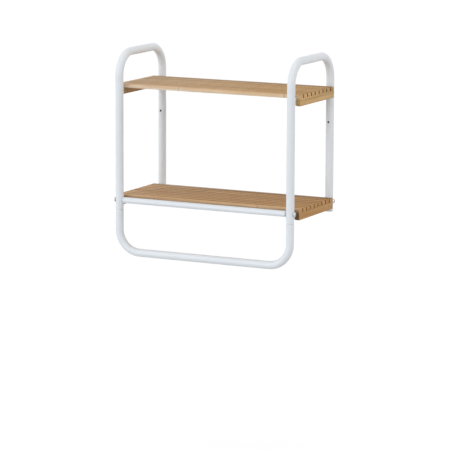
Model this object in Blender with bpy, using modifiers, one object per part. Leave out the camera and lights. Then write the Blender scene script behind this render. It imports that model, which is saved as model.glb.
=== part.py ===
"""Wall towel rack with two slatted shelves, built as separate pieces.

Two bent tube arches carry two slatted bamboo shelves between their legs. A U-shaped towel rail
plugs up into the front legs with necked ends, and two thinner crossbars tie the arches together.

+X runs to the right, +Y into the wall and +Z up. The origin lies on the wall, midway between the
two wall-screw holes. Sizes are in metres.
"""

import math

import bmesh
import bpy
from mathutils import Matrix, Vector

# Clearances and meshing
FIT_GAP = 0.0003
CUT_OVERRUN = 0.004
WELD_DISTANCE = 0.00001
TUBE_SIDES = 20
BORE_SIDES = 16
SCREW_SIDES = 10
HEX_SIDES = 6
BEND_STEPS = 9
CORNER_STEPS = 4
DOME_STEPS = 4
SMOOTH_ANGLE = math.radians(35)

# Steel arches
TUBE_DIAMETER = 0.018
TUBE_WALL = 0.0012
LEG_SPAN = 0.420
LEG_DEPTH = 0.204
ARCH_HEADROOM = 0.0695
ARCH_BEND_RADIUS = 0.052
REAR_LEG_DROP = 0.020
WALL_HOLE_DROP = 0.0805
WALL_HOLE_DIAMETER = 0.005

# Towel rail
RAIL_DROP = 0.116
RAIL_BEND_RADIUS = 0.050
RAIL_JOINT_DROP = 0.021
RAIL_NECK_LENGTH = 0.0015
SPIGOT_RISE = 0.013

# Crossbars and what ties their ends to the legs
CROSSBAR_DIAMETER = 0.0135
CROSSBAR_WALL = 0.0011
SADDLE_WEB = 0.0015
SADDLE_WING = 0.0022
INSERT_LENGTH = 0.018
BOLT_DIAMETER = 0.006
BOLT_ENGAGEMENT = 0.0145
BOLT_HEAD_DIAMETER = 0.0108
BOLT_HEAD_HEIGHT = 0.0045
BOLT_HEAD_RIM = 0.0008
BOLT_SOCKET_WIDTH = 0.004
BOLT_SOCKET_DEPTH = 0.0018

# End caps of the rear legs
CAP_HEAD = 0.003
CAP_EDGE = 0.001
CAP_PLUG_LENGTH = 0.010
CAP_WALL = 0.0015

# Shelves
SHELF_PITCH = 0.2487
SHELF_ABOVE_CROSSBAR = 0.0098
SHELF_OVERHANG = 0.015
SHELF_END_GAP = 0.0045
SLAT_COUNT = 9
SLAT_SPACING = 0.004
SLAT_THICKNESS = 0.008
SLAT_EDGE = 0.0008
CLEAT_THICKNESS = 0.010
CLEAT_HEIGHT = 0.0162
CLEAT_CORNER_RADIUS = 0.003

# Welded brackets and their screws
BRACKET_THICKNESS = 0.002
BRACKET_HEIGHT = 0.012
BRACKET_REACH = 0.014
BRACKET_TIP_RADIUS = 0.005
SHELF_SCREW_DIAMETER = 0.0035
SHELF_SCREW_BITE = 0.006
SHELF_SCREW_TIP = 0.002
SHELF_SCREW_HEAD_DIAMETER = 0.007
SHELF_SCREW_HEAD_HEIGHT = 0.002

# Derived sizes
TUBE_RADIUS = TUBE_DIAMETER / 2
BORE_RADIUS = TUBE_RADIUS - TUBE_WALL
SPIGOT_RADIUS = BORE_RADIUS - FIT_GAP
CROSSBAR_RADIUS = CROSSBAR_DIAMETER / 2
CROSSBAR_BORE_RADIUS = CROSSBAR_RADIUS - CROSSBAR_WALL
BOLT_RADIUS = BOLT_DIAMETER / 2
BOLT_HOLE_RADIUS = BOLT_RADIUS + FIT_GAP
SHELF_SCREW_RADIUS = SHELF_SCREW_DIAMETER / 2
SHELF_SCREW_HOLE_RADIUS = SHELF_SCREW_RADIUS + FIT_GAP

LEG_X = LEG_SPAN / 2
REAR_Y = -TUBE_RADIUS
FRONT_Y = REAR_Y - LEG_DEPTH
MIDDLE_Y = (REAR_Y + FRONT_Y) / 2

UPPER_SHELF_Z = WALL_HOLE_DROP
LOWER_SHELF_Z = UPPER_SHELF_Z - SHELF_PITCH
CROSSBAR_Z = LOWER_SHELF_Z - SHELF_ABOVE_CROSSBAR
ARCH_TOP_Z = UPPER_SHELF_Z + ARCH_HEADROOM
RAIL_Z = CROSSBAR_Z - RAIL_DROP
RAIL_JOINT_Z = CROSSBAR_Z - RAIL_JOINT_DROP
REAR_LEG_END_Z = CROSSBAR_Z - REAR_LEG_DROP

SADDLE_FLAT_X = LEG_X - TUBE_RADIUS - FIT_GAP - SADDLE_WEB
CROSSBAR_END_X = SADDLE_FLAT_X - FIT_GAP
BOLT_SEAT_X = LEG_X + TUBE_RADIUS + FIT_GAP
BOLT_LENGTH = BOLT_SEAT_X - CROSSBAR_END_X + BOLT_ENGAGEMENT

SHELF_LENGTH = LEG_SPAN + 2 * SHELF_OVERHANG
SHELF_DEPTH = LEG_DEPTH - TUBE_DIAMETER - 2 * SHELF_END_GAP
SLAT_WIDTH = (SHELF_DEPTH - (SLAT_COUNT - 1) * SLAT_SPACING) / SLAT_COUNT
CLEAT_TOP_DROP = SLAT_THICKNESS + FIT_GAP
CLEAT_INNER_X = SHELF_LENGTH / 2 - CLEAT_THICKNESS
BRACKET_OUTER_X = CLEAT_INNER_X - FIT_GAP
BRACKET_INNER_X = BRACKET_OUTER_X - BRACKET_THICKNESS
BRACKET_DROP = CLEAT_TOP_DROP + CLEAT_HEIGHT / 2
BRACKET_TIP_Y = SHELF_DEPTH / 2 - BRACKET_REACH
BRACKET_HOLE_Y = BRACKET_TIP_Y + BRACKET_HEIGHT / 2
SHELF_SCREW_SEAT_X = BRACKET_INNER_X - FIT_GAP
SHELF_SCREW_END_X = CLEAT_INNER_X + SHELF_SCREW_BITE

SIDES = (("left", -1), ("right", 1))
ENDS = (("front", FRONT_Y, -1), ("rear", REAR_Y, 1))
SHELVES = (("upper", UPPER_SHELF_Z), ("lower", LOWER_SHELF_Z))

# Linear colour, roughness and metallic value of each material
FINISHES = {
    "white_powder_coat": ((0.83, 0.85, 0.87), 0.38, 0.0),
    "bamboo": ((0.56, 0.36, 0.20), 0.55, 0.0),
    "white_plastic": ((0.80, 0.81, 0.81), 0.45, 0.0),
    "zinc_plated_steel": ((0.62, 0.63, 0.65), 0.30, 1.0),
}


def clear_scene():
    for item in list(bpy.data.objects):
        bpy.data.objects.remove(item, do_unlink=True)


def make_collection(name):
    collection = bpy.data.collections.new(name)
    bpy.context.scene.collection.children.link(collection)
    return collection


def make_material(name):
    colour, roughness, metallic = FINISHES[name]
    material = bpy.data.materials.new(name)
    material.use_nodes = True
    shader = material.node_tree.nodes["Principled BSDF"]
    shader.inputs["Base Color"].default_value = (*colour, 1.0)
    shader.inputs["Roughness"].default_value = roughness
    shader.inputs["Metallic"].default_value = metallic
    return material


def turn_to(axis):
    """Rotation that turns +Z to the given axis."""
    return Vector((0, 0, 1)).rotation_difference(Vector(axis)).to_matrix().to_4x4()


def new_object(name, mesh, collection):
    item = bpy.data.objects.new(name, mesh)
    collection.objects.link(item)
    return item


def mesh_from(name, bm):
    mesh = bpy.data.meshes.new(name)
    bmesh.ops.recalc_face_normals(bm, faces=bm.faces)
    bm.to_mesh(mesh)
    bm.free()
    mesh.shade_smooth()
    mesh.set_sharp_from_angle(angle=SMOOTH_ANGLE)
    return mesh


def baked_mesh(item):
    """Mesh of an object as its modifiers or its curve leave it, with loose caps welded."""
    depsgraph = bpy.context.evaluated_depsgraph_get()
    raw = bpy.data.meshes.new_from_object(item.evaluated_get(depsgraph))
    bm = bmesh.new()
    bm.from_mesh(raw)
    bmesh.ops.remove_doubles(bm, verts=bm.verts, dist=WELD_DISTANCE)
    bpy.data.meshes.remove(raw)
    return mesh_from(item.name, bm)


def mesh_from_curve(curve, collection):
    """Replace a curve by a mesh object at the same place."""
    item = new_object(curve.name, curve, collection)
    bpy.context.view_layer.update()
    piece = new_object(curve.name, baked_mesh(item), collection)
    piece.matrix_world = item.matrix_world
    bpy.data.objects.remove(item, do_unlink=True)
    piece.name = curve.name
    return piece


def corner_arc(before, corner, after, radius, steps):
    """Points of the arc that rounds a corner between two neighbours."""
    if not radius:
        return [Vector(corner)]
    corner = Vector(corner)
    back = (Vector(before) - corner).normalized()
    ahead = (Vector(after) - corner).normalized()
    half_angle = back.angle(ahead) / 2
    centre = corner + (back + ahead).normalized() * radius / math.sin(half_angle)
    start = corner + back * radius / math.tan(half_angle) - centre
    axis = start.cross(corner - centre)
    sweep = math.pi - 2 * half_angle
    turns = [Matrix.Rotation(sweep * step / steps, 3, axis) for step in range(steps + 1)]
    return [centre + turn @ start for turn in turns]


def bent_path(corners, radius):
    """Tube centre line through the corners, with each inner corner bent to the radius."""
    path = [Vector(corners[0])]
    for before, corner, after in zip(corners, corners[1:], corners[2:]):
        path += corner_arc(before, corner, after, radius, BEND_STEPS)
    return path + [Vector(corners[-1])]


def swept_rod(name, path, radii, collection):
    """Round rod along a path, with its radius at each point."""
    widest = max(radii)
    curve = bpy.data.curves.new(name, "CURVE")
    curve.dimensions = "3D"
    curve.bevel_depth = widest
    curve.bevel_resolution = TUBE_SIDES // 2 - 2
    curve.use_fill_caps = True
    spline = curve.splines.new("POLY")
    spline.points.add(len(path) - 1)
    for point, place, radius in zip(spline.points, path, radii):
        point.co = (*place, 1.0)
        point.radius = radius / widest
    return mesh_from_curve(curve, collection)


def add_outline(curve, outline):
    """Add a closed line of (Y, Z, 0) points to a flat curve."""
    spline = curve.splines.new("POLY")
    spline.points.add(len(outline) - 1)
    spline.use_cyclic_u = True
    for point, place in zip(spline.points, outline):
        point.co = (*place, 1.0)


def ring_of_points(centre, radius, sides):
    """Points round a circle of a flat outline."""
    turns = [2 * math.pi * side / sides for side in range(sides)]
    return [(centre[0] + radius * math.cos(turn), centre[1] + radius * math.sin(turn), 0)
            for turn in turns]


def flat_plate(name, corners, radii, thickness, collection, hole=None):
    """Plate of a thickness along X, with its outline and any hole given in (Y, Z)."""
    count = len(corners)
    flat = [(across, up, 0) for across, up in corners]
    curve = bpy.data.curves.new(name, "CURVE")
    curve.dimensions = "2D"
    curve.fill_mode = "BOTH"
    curve.extrude = thickness / 2
    outline = []
    for index, radius in enumerate(radii):
        after = flat[(index + 1) % count]
        outline += corner_arc(flat[index - 1], flat[index], after, radius, CORNER_STEPS)
    add_outline(curve, outline)
    if hole:
        add_outline(curve, ring_of_points(*hole))
    piece = mesh_from_curve(curve, collection)
    piece.data.transform(Matrix(((0, 0, 1, 0), (1, 0, 0, 0), (0, 1, 0, 0), (0, 0, 0, 1))))
    return piece


def straight_rod(name, radius, length, axis, sides, collection):
    """Round rod centred on its own origin, turned half a side so that no corner lies on an axis."""
    bm = bmesh.new()
    half_side = Matrix.Rotation(math.pi / sides, 4, "Z")
    bmesh.ops.create_cone(
        bm, cap_ends=True, segments=sides, radius1=radius, radius2=radius, depth=length,
        matrix=turn_to(axis) @ half_side)
    return new_object(name, mesh_from(name, bm), collection)


def turned_piece(name, profile, sides, collection):
    """Piece turned about Z from a profile of (radius, height), down its outer side."""
    mesh = bpy.data.meshes.new(name)
    corners = [(radius, 0, height) for radius, height in profile]
    edges = [(index, index + 1) for index in range(len(corners) - 1)]
    mesh.from_pydata(corners, edges, [])
    piece = new_object(name, mesh, collection)
    spin = piece.modifiers.new("turn", "SCREW")
    spin.steps = sides
    spin.render_steps = sides
    spin.use_merge_vertices = True
    spin.merge_threshold = WELD_DISTANCE
    spin.use_smooth_shade = True
    return piece


def dome_profile(radius, height, rim):
    """Profile of a domed head over a straight rim, from its top down to its seat at zero."""
    rise = height - rim
    angles = [math.pi / 2 * step / DOME_STEPS for step in range(DOME_STEPS + 1)]
    dome = [(radius * math.sin(angle), rim + rise * math.cos(angle)) for angle in angles]
    return dome + [(radius, 0)]


def set_aside(tool, tools):
    """Make an object a tool that cuts or joins, and is no piece itself."""
    for owner in list(tool.users_collection):
        owner.objects.unlink(tool)
    tools.objects.link(tool)
    tool.hide_render = True
    tool.display_type = "WIRE"


def join_or_cut(piece, tool, operation, tools):
    set_aside(tool, tools)
    step = piece.modifiers.new(tool.name, "BOOLEAN")
    step.operation = operation
    step.solver = "EXACT"
    step.object = tool


def drill(piece, name, radius, length, centre, axis, sides, tools):
    """Cut a round hole of a length, centred at a point of the piece's own frame."""
    cutter = straight_rod(name, radius, length, axis, sides, tools)
    cutter.parent = piece.parent
    cutter.location = centre
    join_or_cut(piece, cutter, "DIFFERENCE", tools)


def finish(piece, material, parent):
    piece.data.materials.clear()
    piece.data.materials.append(material)
    piece.parent = parent


def make_empty(name, place, collection):
    empty = bpy.data.objects.new(name, None)
    empty.location = place
    collection.objects.link(empty)
    return empty


def hollow(piece, path, radii, tools):
    """Cut a tube's bore along its path."""
    bore = swept_rod(piece.name + "_bore", path, radii, tools)
    join_or_cut(piece, bore, "DIFFERENCE", tools)


def bracket_plate(name, side, end_y, facing, shelf_z, tools):
    """Plate from a leg's centre line to a round tip beside the cleat, with its screw hole."""
    middle_z = shelf_z - BRACKET_DROP
    low_z = middle_z - BRACKET_HEIGHT / 2
    high_z = middle_z + BRACKET_HEIGHT / 2
    tip_y = MIDDLE_Y + facing * BRACKET_TIP_Y
    corners = ((end_y, low_z), (tip_y, low_z), (tip_y, high_z), (end_y, high_z))
    hole = ((MIDDLE_Y + facing * BRACKET_HOLE_Y, middle_z), SHELF_SCREW_HOLE_RADIUS, SCREW_SIDES)
    radii = (0, BRACKET_TIP_RADIUS, BRACKET_TIP_RADIUS, 0)
    plate = flat_plate(name, corners, radii, BRACKET_THICKNESS, tools, hole)
    plate.location.x = side * (BRACKET_OUTER_X - BRACKET_THICKNESS / 2)
    return plate


def side_frame(name, side, coat, parent, parts, tools):
    """Bent tube arch with its four welded shelf brackets and its holes."""
    leg_x = side * LEG_X
    corners = (
        (leg_x, FRONT_Y, RAIL_JOINT_Z),
        (leg_x, FRONT_Y, ARCH_TOP_Z),
        (leg_x, REAR_Y, ARCH_TOP_Z),
        (leg_x, REAR_Y, REAR_LEG_END_Z),
    )
    path = bent_path(corners, ARCH_BEND_RADIUS)
    arch = swept_rod(name, path, [TUBE_RADIUS] * len(path), parts)
    finish(arch, coat, parent)
    for shelf_name, shelf_z in SHELVES:
        for end_name, end_y, facing in ENDS:
            plate_name = f"{name}_bracket_{shelf_name}_{end_name}"
            plate = bracket_plate(plate_name, side, end_y, facing, shelf_z, tools)
            join_or_cut(arch, plate, "UNION", tools)
    overrun = Vector((0, 0, CUT_OVERRUN))
    bore_path = [path[0] - overrun] + path[1:-1] + [path[-1] - overrun]
    hollow(arch, bore_path, [BORE_RADIUS] * len(path), tools)
    for end_name, end_y, _ in ENDS:
        drill(arch, f"{name}_{end_name}_bolt_hole", BOLT_HOLE_RADIUS, TUBE_DIAMETER + CUT_OVERRUN,
              (leg_x, end_y, CROSSBAR_Z), (1, 0, 0), BORE_SIDES, tools)
    drill(arch, f"{name}_wall_hole", WALL_HOLE_DIAMETER / 2, TUBE_DIAMETER + CUT_OVERRUN,
          (leg_x, REAR_Y, 0), (0, 1, 0), BORE_SIDES, tools)
    return arch


def towel_rail(coat, parent, parts, tools):
    """U-bent tube whose necked ends plug up into the front legs."""
    spigot_top_z = CROSSBAR_Z + SPIGOT_RISE
    shoulder_z = RAIL_JOINT_Z - FIT_GAP
    neck_z = shoulder_z - RAIL_NECK_LENGTH

    def tube_path(top_z):
        corners = [(side * LEG_X, FRONT_Y, height)
                   for side, height in ((-1, neck_z), (-1, RAIL_Z), (1, RAIL_Z), (1, neck_z))]
        left = [Vector((-LEG_X, FRONT_Y, height)) for height in (top_z, shoulder_z)]
        right = [Vector((LEG_X, FRONT_Y, height)) for height in (shoulder_z, top_z)]
        return left + bent_path(corners, RAIL_BEND_RADIUS) + right

    path = tube_path(spigot_top_z)
    spigot = [SPIGOT_RADIUS] * 2
    body = [TUBE_RADIUS] * (len(path) - 2 * len(spigot))
    rail = swept_rod("towel_rail", path, spigot + body + spigot, parts)
    finish(rail, coat, parent)
    bore_radii = [radius - TUBE_WALL for radius in spigot + body + spigot]
    hollow(rail, tube_path(spigot_top_z + CUT_OVERRUN), bore_radii, tools)
    for side_name, side in SIDES:
        drill(rail, f"towel_rail_{side_name}_bolt_hole", BOLT_HOLE_RADIUS, TUBE_DIAMETER,
              (side * LEG_X, FRONT_Y, CROSSBAR_Z), (1, 0, 0), BORE_SIDES, tools)
    return rail


def crossbar(name, end_y, coat, parent, parts, tools):
    """Straight tube between two legs, open at both ends."""
    length = 2 * CROSSBAR_END_X
    bar = straight_rod(name, CROSSBAR_RADIUS, length, (1, 0, 0), TUBE_SIDES, parts)
    finish(bar, coat, parent)
    bar.location = (0, end_y, CROSSBAR_Z)
    drill(bar, name + "_bore", CROSSBAR_BORE_RADIUS, length + CUT_OVERRUN,
          (0, end_y, CROSSBAR_Z), (1, 0, 0), TUBE_SIDES, tools)
    return bar


def threaded_insert(name, side, end_y, steel, parent, parts, tools):
    """Nut that sits flush inside a crossbar's end."""
    radius = CROSSBAR_BORE_RADIUS - FIT_GAP
    centre = (side * (CROSSBAR_END_X - INSERT_LENGTH / 2), end_y, CROSSBAR_Z)
    insert = straight_rod(name, radius, INSERT_LENGTH, (1, 0, 0), BORE_SIDES, parts)
    finish(insert, steel, parent)
    insert.location = centre
    drill(insert, name + "_thread", BOLT_HOLE_RADIUS, INSERT_LENGTH + CUT_OVERRUN,
          centre, (1, 0, 0), BORE_SIDES, tools)
    return insert


def saddle_washer(name, side, end_y, plastic, parent, parts, tools):
    """Washer that is flat against the crossbar and hollowed to fit the round leg."""
    length = SADDLE_WEB + SADDLE_WING
    centre = (side * (SADDLE_FLAT_X + length / 2), end_y, CROSSBAR_Z)
    washer = straight_rod(name, CROSSBAR_RADIUS, length, (1, 0, 0), TUBE_SIDES, parts)
    finish(washer, plastic, parent)
    washer.location = centre
    drill(washer, name + "_leg", TUBE_RADIUS + FIT_GAP, CROSSBAR_DIAMETER + CUT_OVERRUN,
          (side * LEG_X, end_y, CROSSBAR_Z), (0, 0, 1), TUBE_SIDES, tools)
    drill(washer, name + "_hole", BOLT_HOLE_RADIUS, length + CUT_OVERRUN,
          centre, (1, 0, 0), BORE_SIDES, tools)
    return washer


def frame_bolt(name, side, end_y, steel, parent, parts, tools):
    """Domed bolt with a hexagonal socket, through a leg into a crossbar's end."""
    head = dome_profile(BOLT_HEAD_DIAMETER / 2, BOLT_HEAD_HEIGHT, BOLT_HEAD_RIM)
    profile = head + [(BOLT_RADIUS, 0), (BOLT_RADIUS, -BOLT_LENGTH), (0, -BOLT_LENGTH)]
    bolt = turned_piece(name, profile, BORE_SIDES, parts)
    finish(bolt, steel, parent)
    outward = turn_to((side, 0, 0))
    bolt.matrix_local = Matrix.Translation((side * BOLT_SEAT_X, end_y, CROSSBAR_Z)) @ outward
    socket_x = side * (BOLT_SEAT_X + BOLT_HEAD_HEIGHT)
    drill(bolt, name + "_socket", BOLT_SOCKET_WIDTH / math.sqrt(3), 2 * BOLT_SOCKET_DEPTH,
          (socket_x, end_y, CROSSBAR_Z), (1, 0, 0), HEX_SIDES, tools)
    return bolt


def leg_cap(name, side, plastic, parent, parts):
    """Plastic cap with a hollow plug, in the open end of a rear leg."""
    plug_radius = BORE_RADIUS - FIT_GAP
    hollow_radius = plug_radius - CAP_WALL
    profile = (
        (0, 0),
        (hollow_radius, 0),
        (hollow_radius, CAP_PLUG_LENGTH),
        (plug_radius, CAP_PLUG_LENGTH),
        (plug_radius, 0),
        (TUBE_RADIUS, 0),
        (TUBE_RADIUS, CAP_EDGE - CAP_HEAD),
        (TUBE_RADIUS - CAP_EDGE, -CAP_HEAD),
        (0, -CAP_HEAD),
    )
    cap = turned_piece(name, profile, TUBE_SIDES, parts)
    finish(cap, plastic, parent)
    cap.location = (side * LEG_X, REAR_Y, REAR_LEG_END_Z - FIT_GAP)
    return cap


def slat(name, place_y, bamboo, parent, parts):
    """Slat that runs the length of the shelf, its top face at the shelf's own zero."""
    size = (SHELF_LENGTH, SLAT_WIDTH, SLAT_THICKNESS)
    bm = bmesh.new()
    bmesh.ops.create_cube(bm, size=1.0, matrix=Matrix.Diagonal((*size, 1.0)))
    piece = new_object(name, mesh_from(name, bm), parts)
    finish(piece, bamboo, parent)
    piece.location = (0, place_y, -SLAT_THICKNESS / 2)
    edges = piece.modifiers.new("eased_edges", "BEVEL")
    edges.width = SLAT_EDGE
    edges.segments = 1
    edges.limit_method = "ANGLE"
    return piece


def cleat(name, side, bamboo, parent, parts, tools):
    """Batten on edge under the slats' ends, with a pilot hole near each end."""
    front, back = -SHELF_DEPTH / 2, SHELF_DEPTH / 2
    top, bottom = -CLEAT_TOP_DROP, -CLEAT_TOP_DROP - CLEAT_HEIGHT
    corners = ((front, bottom), (back, bottom), (back, top), (front, top))
    radii = (CLEAT_CORNER_RADIUS, CLEAT_CORNER_RADIUS, 0, 0)
    piece = flat_plate(name, corners, radii, CLEAT_THICKNESS, parts)
    finish(piece, bamboo, parent)
    piece.location.x = side * (CLEAT_INNER_X + CLEAT_THICKNESS / 2)
    depth = SHELF_SCREW_BITE + FIT_GAP
    middle_x = side * (CLEAT_INNER_X + (depth - CUT_OVERRUN) / 2)
    for end_name, _, facing in ENDS:
        drill(piece, f"{name}_pilot_{end_name}", SHELF_SCREW_HOLE_RADIUS, depth + CUT_OVERRUN,
              (middle_x, facing * BRACKET_HOLE_Y, -BRACKET_DROP), (1, 0, 0), SCREW_SIDES, tools)
    return piece


def shelf_screw(name, side, facing, steel, parent, parts):
    """Pan-head screw from a bracket's inner face into the cleat beside it."""
    length = SHELF_SCREW_END_X - SHELF_SCREW_SEAT_X
    head = dome_profile(SHELF_SCREW_HEAD_DIAMETER / 2, SHELF_SCREW_HEAD_HEIGHT, 0)
    shank = ((SHELF_SCREW_RADIUS, 0), (SHELF_SCREW_RADIUS, SHELF_SCREW_TIP - length), (0, -length))
    screw = turned_piece(name, head[:-1] + list(shank), SCREW_SIDES, parts)
    finish(screw, steel, parent)
    seat = Matrix.Translation((side * SHELF_SCREW_SEAT_X, facing * BRACKET_HOLE_Y, -BRACKET_DROP))
    screw.matrix_local = seat @ turn_to((-side, 0, 0))
    return screw


def shelf(name, top_z, materials, parent, parts, tools):
    """Slats on two cleats, placed from an empty at the middle of the shelf's top."""
    centre = make_empty(f"{name}_shelf", (0, MIDDLE_Y, top_z), parts)
    centre.parent = parent
    pitch = SLAT_WIDTH + SLAT_SPACING
    for index in range(SLAT_COUNT):
        place_y = (index - (SLAT_COUNT - 1) / 2) * pitch
        slat(f"{name}_slat_{index + 1}", place_y, materials["bamboo"], centre, parts)
    steel = materials["zinc_plated_steel"]
    for side_name, side in SIDES:
        cleat(f"{name}_cleat_{side_name}", side, materials["bamboo"], centre, parts, tools)
        for end_name, _, facing in ENDS:
            screw_name = f"{name}_shelf_screw_{end_name}_{side_name}"
            shelf_screw(screw_name, side, facing, steel, centre, parts)


def build():
    clear_scene()
    parts = make_collection("towel_rack_with_shelves")
    tools = make_collection("cutters")
    materials = {name: make_material(name) for name in FINISHES}
    coat = materials["white_powder_coat"]
    plastic = materials["white_plastic"]
    steel = materials["zinc_plated_steel"]
    rack = make_empty("towel_rack", (0, 0, 0), parts)

    towel_rail(coat, rack, parts, tools)
    for end_name, end_y, _ in ENDS:
        crossbar(f"{end_name}_crossbar", end_y, coat, rack, parts, tools)
    for side_name, side in SIDES:
        side_frame(f"{side_name}_side_frame", side, coat, rack, parts, tools)
        leg_cap(f"{side_name}_rear_leg_cap", side, plastic, rack, parts)
        for end_name, end_y, _ in ENDS:
            place = f"{end_name}_{side_name}"
            saddle_washer(f"saddle_washer_{place}", side, end_y, plastic, rack, parts, tools)
            threaded_insert(f"threaded_insert_{place}", side, end_y, steel, rack, parts, tools)
            frame_bolt(f"frame_bolt_{place}", side, end_y, steel, rack, parts, tools)
    for shelf_name, shelf_z in SHELVES:
        shelf(shelf_name, shelf_z, materials, rack, parts, tools)


build()
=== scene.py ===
"""Towel rack with slatted shelves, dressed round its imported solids.

Metres, in the solids' own frame: +X right, +Y into the wall, +Z up.
"""
import math

import bmesh
import bpy
from mathutils import Matrix, Vector


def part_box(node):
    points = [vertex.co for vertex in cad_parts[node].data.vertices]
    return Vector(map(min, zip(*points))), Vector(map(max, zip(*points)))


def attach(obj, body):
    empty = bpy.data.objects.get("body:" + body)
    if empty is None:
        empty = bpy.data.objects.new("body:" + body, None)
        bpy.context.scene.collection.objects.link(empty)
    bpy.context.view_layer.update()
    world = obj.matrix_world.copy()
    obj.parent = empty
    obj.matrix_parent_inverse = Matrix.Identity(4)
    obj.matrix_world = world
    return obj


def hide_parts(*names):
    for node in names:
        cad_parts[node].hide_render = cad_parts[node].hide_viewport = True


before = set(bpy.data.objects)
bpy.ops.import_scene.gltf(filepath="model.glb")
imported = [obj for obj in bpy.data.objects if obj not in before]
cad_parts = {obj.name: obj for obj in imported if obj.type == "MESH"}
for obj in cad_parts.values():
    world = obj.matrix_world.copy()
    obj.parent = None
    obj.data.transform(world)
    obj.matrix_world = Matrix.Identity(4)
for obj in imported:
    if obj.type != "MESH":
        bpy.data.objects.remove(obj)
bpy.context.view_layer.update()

BODY = "root"

# Sizes that the solids share, in metres
TUBE_RADIUS = 0.009
TUBE_WALL = 0.0012
BORE_RADIUS = TUBE_RADIUS - TUBE_WALL
FIT_GAP = 0.0003
SPIGOT_RADIUS = BORE_RADIUS - FIT_GAP
LEG_X = 0.210
FRONT_Y = -0.213
REAR_Y = -0.009
MIDDLE_Y = (FRONT_Y + REAR_Y) / 2
ARCH_TOP_Z = 0.150
ARCH_BEND_RADIUS = 0.052
RAIL_Z = -0.294
RAIL_BEND_RADIUS = 0.050
RAIL_JOINT_Z = -0.199
RAIL_NECK_LENGTH = 0.0015
SPIGOT_TOP_Z = -0.165
REAR_LEG_END_Z = -0.198
CROSSBAR_Z = -0.178
WALL_HOLE_RADIUS = 0.0025
BOLT_HOLE_RADIUS = 0.0033
CROSSBAR_RADIUS = 0.00675
CROSSBAR_BORE_RADIUS = 0.00565
SHELF_TOPS = {"upper": 0.0805, "lower": -0.1682}
SHELF_HALF_LENGTH = 0.225
SHELF_HALF_DEPTH = 0.0885
SLAT_COUNT = 9
SLAT_HEIGHT = 0.008
CLEAT_CORNER_RADIUS = 0.003
CLEAT_MIDDLE_DROP = 0.0164
BRACKET_HALF_HEIGHT = 0.006
BRACKET_TIP_RADIUS = 0.005
BRACKET_INNER_X = 0.2127
BRACKET_OUTER_X = 0.2147
BRACKET_ROOT_REACH = 0.0075
BRACKET_TIP_REACH = 0.0745
BRACKET_HOLE_REACH = 0.0805

# Eased edges, in metres
ARCH_EASING = 0.0004
BAR_EASING = 0.0003
HEAD_EASING = 0.0002
SCREW_EASING = 0.0001
BOARD_EDGE = 0.0006
CLEAT_EDGE = 0.0004
BRACKET_EDGE = 0.0003

# Weld beads: radius in metres, ripple as a share of it and its turn in radians for each step
BEAD_RADIUS = 0.0011
BEAD_RIPPLE = 0.14
BEAD_RIPPLE_TURN = 2.1
BEAD_STEPS = 16
BEAD_END_STEPS = 3
BEAD_SIDES = 14

# Spigots, washers and caps, in metres
SPIGOT_LEAD = 0.0006
WASHER_WEB = 0.0014
WASHER_NECK_RADIUS = 0.0042
CAP_HEAD = 0.003
CAP_EDGE = 0.001
CAP_DEPTH = 0.010
CAP_WALL = 0.0015
CAP_LEAD = 0.0005

# Frame bolts, in metres
BOLT_RADIUS = 0.003
BOLT_RIM = 0.0008
BOLT_PLAIN_LENGTH = 0.022
BOLT_LEAD = 0.0008
BOLT_THREAD_DEPTH = 0.00035
BOLT_THREAD_PITCH = 0.001
BOLT_DOME_STEPS = 10
SOCKET_RADIUS = 0.0023
SOCKET_DEPTH = 0.0018
SOCKET_SIDES = 6

# Shelf screws, in metres
SCREW_RADIUS = 0.00175
SCREW_HOLE_RADIUS = 0.00205
SCREW_BITE = 0.0063
SCREW_HEAD_HEIGHT = 0.002
SCREW_RIM = 0.0003
SCREW_PLAIN_LENGTH = 0.0024
SCREW_TIP = 0.002
SCREW_THREAD_DEPTH = 0.0004
SCREW_THREAD_PITCH = 0.0013
SCREW_DOME_STEPS = 8
RECESS_DEPTH = 0.0012
RECESS_LENGTH = 0.0036
RECESS_WIDTH = 0.0008

# Meshing
TUBE_SIDES = 64
BAR_SIDES = 48
HEAD_SIDES = 40
HOLE_SIDES = 32
BAR_RINGS = 40
RING_PITCH = 0.006
BEND_STEPS = 28
OUTLINE_STEPS = 8
CAP_EDGE_STEPS = 6
BOARD_EDGE_STEPS = 3
PLATE_EDGE_STEPS = 2
RECESS_EDGE_STEPS = 1
SMOOTH_ANGLE = math.radians(38)
OVERRUN = 0.004

# Strips and knuckles to the metre, and how far the knuckles stray from their even pitch
STRIPS = 172.0
KNUCKLES = 3.9
KNUCKLE_WANDER = 0.012

# Factors that turn a board's seed and a strip's tone into places far apart in the grain
SEED_TO_LENGTH = 7.31
SEED_TO_STRIPS = 13.0
SEED_TO_TONE = 91.0
TONE_TO_KNUCKLES = 5.7

# Seeds that pick each board's stretch of bamboo
SLAT_SEED = 0.37
SLAT_SEED_STEP = 0.618034
CLEAT_SEED = 0.545
CLEAT_SEED_SIDE_STEP = 0.29
CLEAT_SEED_SHELF_STEP = 0.43

# Plain colours
BARE_STEEL = (0.10, 0.095, 0.09)
KNUCKLE_HALO = (0.74, 0.56, 0.36)
KNUCKLE_LINE = (0.30, 0.165, 0.075)
STRIP_SEAM = (0.33, 0.19, 0.09)
FLOOR_PAINT = (0.66, 0.66, 0.66, 1)

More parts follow.
